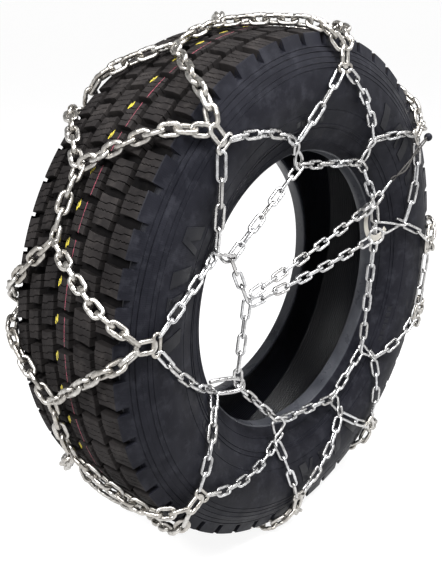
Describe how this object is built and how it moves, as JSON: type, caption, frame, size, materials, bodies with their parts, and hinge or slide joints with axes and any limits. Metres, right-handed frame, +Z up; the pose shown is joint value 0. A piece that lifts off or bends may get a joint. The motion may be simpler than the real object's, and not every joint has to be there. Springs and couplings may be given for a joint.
{
  "type": "tire snow chains",
  "caption": "Diamond-pattern snow-chain net with hooked side chain and tension chain, fitted around a bare truck tyre.",
  "frame": {"origin": "on the floor under the wheel centre, at the middle of the bounding box", "axes": "+Y along the wheel axis towards the inner side of the wheel, -Y is the outer side with the hooks and tension chain, +Z up"},
  "size_m": [1.0667, 0.3578, 1.0673],
  "materials": {
    "tyre_rubber": "matt black rubber",
    "zinc_steel": "bright zinc plating",
    "strap": "matt beige",
    "cord_rubber": "matt"
  },
  "bodies": {
    "tyre": {"tyre_tread_band": "tyre_rubber", "tyre_sidewall_outer": "tyre_rubber", "tyre_sidewall_inner": "tyre_rubber"},
    "chain_net": {"tread_pair_outer_0": "zinc_steel", "tread_pair_outer_1": "zinc_steel", "tread_pair_outer_2": "zinc_steel", "tread_pair_outer_3": "zinc_steel", "tread_pair_outer_4": "zinc_steel", "tread_pair_outer_5": "zinc_steel", "tread_pair_outer_6": "zinc_steel", "tread_pair_outer_7": "zinc_steel", "tread_pair_outer_8": "zinc_steel", "tread_pair_inner_0": "zinc_steel", "tread_pair_inner_1": "zinc_steel", "tread_pair_inner_2": "zinc_steel", "tread_pair_inner_3": "zinc_steel", "tread_pair_inner_4": "zinc_steel", "tread_pair_inner_5": "zinc_steel", "tread_pair_inner_6": "zinc_steel", "tread_pair_inner_7": "zinc_steel", "tread_pair_inner_8": "zinc_steel", "side_pair_0": "zinc_steel", "side_pair_1": "zinc_steel", "side_pair_2": "zinc_steel", "side_pair_3": "zinc_steel", "side_pair_6": "zinc_steel", "side_pair_7": "zinc_steel", "side_pair_8": "zinc_steel", "side_closing_strand": "zinc_steel", "inner_strand_0": "zinc_steel", "inner_strand_1": "zinc_steel", "inner_strand_2": "zinc_steel", "inner_strand_3": "zinc_steel", "inner_strand_4": "zinc_steel", "inner_strand_5": "zinc_steel", "inner_strand_6": "zinc_steel", "inner_strand_7": "zinc_steel", "inner_strand_8": "zinc_steel", "inner_side_chain": "zinc_steel", "outer_side_chain": "zinc_steel", "tension_strap": "strap"},
    "hook_0": {"side_hook_0": "zinc_steel"},
    "hook_1": {"side_hook_1": "zinc_steel"},
    "hook_2": {"side_hook_2": "zinc_steel"},
    "hook_3": {"side_hook_3": "zinc_steel"},
    "hook_4": {"side_hook_4": "zinc_steel"},
    "hook_5": {"side_hook_5": "zinc_steel"},
    "hook_6": {"side_hook_6": "zinc_steel"},
    "hook_7": {"side_hook_7": "zinc_steel"},
    "upper_strand": {"tension_strand_upper": "zinc_steel"},
    "lower_strand": {"tension_strand_lower": "zinc_steel"},
    "lock": {"tension_lock": "zinc_steel"},
    "tail": {"tension_tail": "zinc_steel"},
    "ring": {"tension_ring": "zinc_steel"},
    "elastic": {"elastic_cord": "cord_rubber", "elastic_knob": "cord_rubber"}
  },
  "joints": [
    {"name": "net_creep", "type": "hinge", "parent": "tyre", "child": "chain_net", "pos_m": [0, 0.005, 0.53315], "axis": [0, 1, 0], "continuous": true},
    {"name": "hook_lift_0", "type": "hinge", "parent": "chain_net", "child": "hook_0", "pos_m": [-0.22863, -0.127, 0.66515], "axis": [0.4501, 0, 0.893], "range_deg": [0, 35]},
    {"name": "hook_lift_1", "type": "hinge", "parent": "chain_net", "child": "hook_1", "pos_m": [-0.0373, -0.127, 0.79854], "axis": [0.9336, 0, 0.3582], "range_deg": [0, 35]},
    {"name": "hook_lift_2", "type": "hinge", "parent": "chain_net", "child": "hook_2", "pos_m": [0.17726, -0.127, 0.7727], "axis": [0.9697, 0, -0.2444], "range_deg": [0, 35]},
    {"name": "hook_lift_3", "type": "hinge", "parent": "chain_net", "child": "hook_3", "pos_m": [0.24918, -0.127, 0.61411], "axis": [-0.0326, 0, -0.9995], "range_deg": [0, 35]},
    {"name": "hook_lift_4", "type": "hinge", "parent": "chain_net", "child": "hook_4", "pos_m": [0.22339, -0.127, 0.33896], "axis": [-0.7073, 0, -0.7069], "range_deg": [0, 35]},
    {"name": "hook_lift_5", "type": "hinge", "parent": "chain_net", "child": "hook_5", "pos_m": [0.11404, -0.127, 0.25783], "axis": [-0.9848, 0, -0.1735], "range_deg": [0, 35]},
    {"name": "hook_lift_6", "type": "hinge", "parent": "chain_net", "child": "hook_6", "pos_m": [-0.07939, -0.127, 0.28137], "axis": [-0.9703, 0, 0.242], "range_deg": [0, 35]},
    {"name": "hook_lift_7", "type": "hinge", "parent": "chain_net", "child": "hook_7", "pos_m": [-0.21253, -0.127, 0.41534], "axis": [0.0755, 0, 0.9971], "range_deg": [0, 22]},
    {"name": "upper_strand_swing", "type": "hinge", "parent": "chain_net", "child": "upper_strand", "pos_m": [-0.168, -0.134, 0.59115], "axis": [0.2383, 0, -0.9712], "range_deg": [0, 45]},
    {"name": "lower_strand_swing", "type": "hinge", "parent": "chain_net", "child": "lower_strand", "pos_m": [-0.17, -0.134, 0.56315], "axis": [0.1086, 0, -0.9941], "range_deg": [0, 45]},
    {"name": "lock_flip", "type": "hinge", "parent": "chain_net", "child": "lock", "pos_m": [0.19455, -0.154, 0.67978], "axis": [-0.2419, 0, 0.9703], "range_deg": [0, 60]},
    {"name": "tail_lift", "type": "hinge", "parent": "chain_net", "child": "tail", "pos_m": [0.201, -0.155, 0.69015], "axis": [0.6968, 0, -0.7173], "range_deg": [0, 60]},
    {"name": "ring_turn", "type": "hinge", "parent": "chain_net", "child": "ring", "pos_m": [0.21, -0.152, 0.61315], "axis": [0, 1, 0], "continuous": true},
    {"name": "cord_lift", "type": "hinge", "parent": "chain_net", "child": "elastic", "pos_m": [0.376, -0.167, 0.80215], "axis": [-0.4657, 0, 0.8849], "range_deg": [0, 50]}
  ]
}
